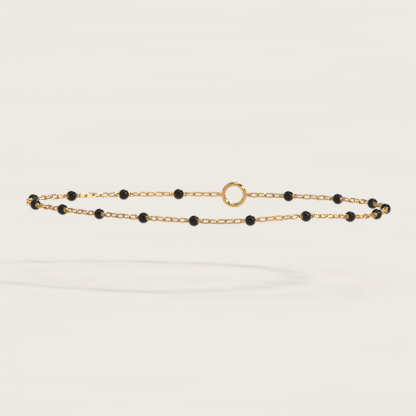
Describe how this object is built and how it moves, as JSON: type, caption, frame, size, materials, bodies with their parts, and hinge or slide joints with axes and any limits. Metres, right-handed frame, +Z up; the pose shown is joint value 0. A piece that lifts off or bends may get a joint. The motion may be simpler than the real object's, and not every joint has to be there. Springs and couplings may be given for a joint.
{
  "type": "beaded anklet",
  "caption": "Worn loop of fine gold cable chain with small round black beads at even steps, closed by a plain ring clasp.",
  "frame": {"origin": "middle of the open hollow that the ankle goes through, in the plane of the loop", "axes": "+X along the loop's long way, towards the front of the ankle; +Y away from the picture's camera; +Z up the leg"},
  "size_m": [0.0821, 0.0672, 0.0059],
  "materials": {
    "gold": "polished gold plate",
    "black_enamel": "glossy black enamel"
  },
  "bodies": {
    "root": {"bead_01": "black_enamel", "bead_02": "black_enamel", "bead_03": "black_enamel", "bead_04": "black_enamel", "bead_05": "black_enamel", "bead_06": "black_enamel", "bead_07": "black_enamel", "bead_08": "black_enamel", "bead_09": "black_enamel", "bead_10": "black_enamel", "bead_11": "black_enamel", "bead_12": "black_enamel", "bead_13": "black_enamel", "bead_14": "black_enamel", "bead_15": "black_enamel", "bead_16": "black_enamel", "bead_17": "black_enamel", "chain_01": "gold", "chain_02": "gold", "chain_03": "gold", "chain_04": "gold", "chain_05": "gold", "chain_06": "gold", "chain_07": "gold", "chain_08": "gold", "chain_09": "gold", "chain_10": "gold", "chain_11": "gold", "chain_12": "gold", "chain_13": "gold", "chain_14": "gold", "chain_15": "gold", "chain_16": "gold", "chain_17": "gold", "chain_18": "gold", "clasp": "gold"}
  },
  "joints": []
}
